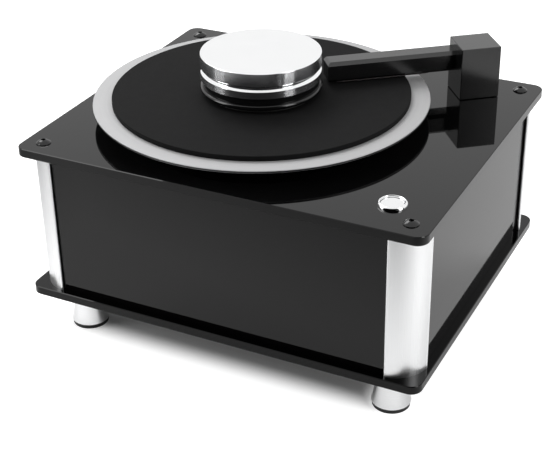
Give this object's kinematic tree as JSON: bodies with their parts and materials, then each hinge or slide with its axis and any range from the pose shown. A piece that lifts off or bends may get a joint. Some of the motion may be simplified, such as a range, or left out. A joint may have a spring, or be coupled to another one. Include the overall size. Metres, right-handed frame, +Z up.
{
  "type": "record cleaning machine",
  "caption": "Boxed turntable for washing records: disc platter with clamp, hollow suction arm that lifts and swings, push button, turned feet.",
  "frame": {"origin": "on the floor under the middle of the plates", "axes": "+X to the right along the front, +Y to the back, +Z up"},
  "size_m": [0.374, 0.312, 0.244],
  "materials": {
    "black_acrylic": "polished black acrylic",
    "panel_acrylic": "smooth black acrylic",
    "post_aluminium": "extruded, satin anodised",
    "turned_aluminium": "turned and polished",
    "platter_metal": "satin, turned",
    "mat": "matte",
    "black_rubber": "matte",
    "black_metal": "black anodised, fine satin",
    "black_steel": "black oxide, glossy",
    "steel": "bright zinc",
    "bearing_metal": "turned",
    "bronze": "sintered bronze",
    "white_plastic": "smooth",
    "chrome": "polished",
    "tank_plastic": "milky",
    "black_plastic": "fine grain",
    "velvet": "short pile",
    "board": "lacquered board"
  },
  "bodies": {
    "chassis": {"base_plate": "black_acrylic", "top_plate": "black_acrylic", "front_panel": "panel_acrylic", "rear_panel": "panel_acrylic", "left_panel": "panel_acrylic", "right_panel": "panel_acrylic", "post_front_left": "post_aluminium", "post_front_right": "post_aluminium", "post_rear_left": "post_aluminium", "post_rear_right": "post_aluminium", "foot_front_left": "turned_aluminium", "foot_front_right": "turned_aluminium", "foot_rear_left": "turned_aluminium", "foot_rear_right": "turned_aluminium", "foot_pads": "black_rubber", "foot_nuts": "steel", "plate_screws": "black_steel", "flange_screws": "steel", "bearing_housing": "bearing_metal", "bearing_bushes": "bronze", "thrust_washer": "white_plastic", "drive_belt": "black_rubber", "motor": "black_metal", "motor_plate": "steel", "motor_standoffs": "steel", "arm_bearing": "bearing_metal", "arm_bushes": "bronze", "swivel_elbow": "black_plastic", "inlet_hose": "black_rubber", "waste_tank": "tank_plastic", "tank_lid": "black_plastic", "drain_spigot": "black_plastic", "vacuum_hose": "black_rubber", "turbine": "bearing_metal", "turbine_buffers": "black_rubber", "circuit_board": "board", "mains_inlet": "black_plastic", "switch_frame": "black_plastic", "button_bezel": "chrome", "button_nut": "steel"},
    "platter_body": {"spindle": "steel", "sub_platter": "black_metal", "platter": "platter_metal", "record_mat": "mat", "driven_pulley": "black_plastic"},
    "motor_rotor": {"motor_pulley": "steel"},
    "clamp": {"clamp_cap": "turned_aluminium", "clamp_puck": "turned_aluminium", "clamp_flange": "black_metal", "clamp_seal": "black_rubber"},
    "arm_lift": {"lift_collar": "black_metal"},
    "arm": {"arm_block": "black_metal", "arm_bar": "black_metal", "arm_end_cap": "black_metal", "arm_lips": "velvet", "pivot_tube": "steel", "pivot_clips": "steel"},
    "push_button": {"button_cap": "chrome"},
    "mains_switch": {"switch_rocker": "black_plastic"},
    "drain_plug": {"drain_cap": "black_plastic"}
  },
  "joints": [
    {"name": "platter_spin", "type": "hinge", "parent": "chassis", "child": "platter_body", "pos_m": [-0.028, 0, 0.2], "axis": [0, 0, 1], "continuous": true},
    {"name": "motor_spin", "type": "hinge", "parent": "chassis", "child": "motor_rotor", "pos_m": [-0.11, -0.06, 0.124], "axis": [0, 0, 1], "continuous": true},
    {"name": "clamp_lift", "type": "slide", "parent": "platter_body", "child": "clamp", "axis": [0, 0, 1], "range_m": [0, 0.05]},
    {"name": "arm_raise", "type": "slide", "parent": "chassis", "child": "arm_lift", "axis": [0, 0, 1], "range_m": [0, 0.0077]},
    {"name": "arm_swing", "type": "hinge", "parent": "arm_lift", "child": "arm", "pos_m": [0.1295, 0.1183, 0.2], "axis": [0, 0, 1], "range_deg": [0, 60]},
    {"name": "button_press", "type": "slide", "parent": "chassis", "child": "push_button", "axis": [0, 0, -1], "range_m": [0, 0.0015], "stiffness_N_per_m": 600},
    {"name": "switch_rock", "type": "hinge", "parent": "chassis", "child": "mains_switch", "pos_m": [-0.07, 0.1461, 0.101], "axis": [1, 0, 0], "range_deg": [0, 16]},
    {"name": "drain_pull", "type": "slide", "parent": "chassis", "child": "drain_plug", "axis": [0, 1, 0], "range_m": [0, 0.012]}
  ],
  "couplings": [
    {"joint": "motor_spin", "follows": "platter_spin", "ratio": 5.75}
  ]
}
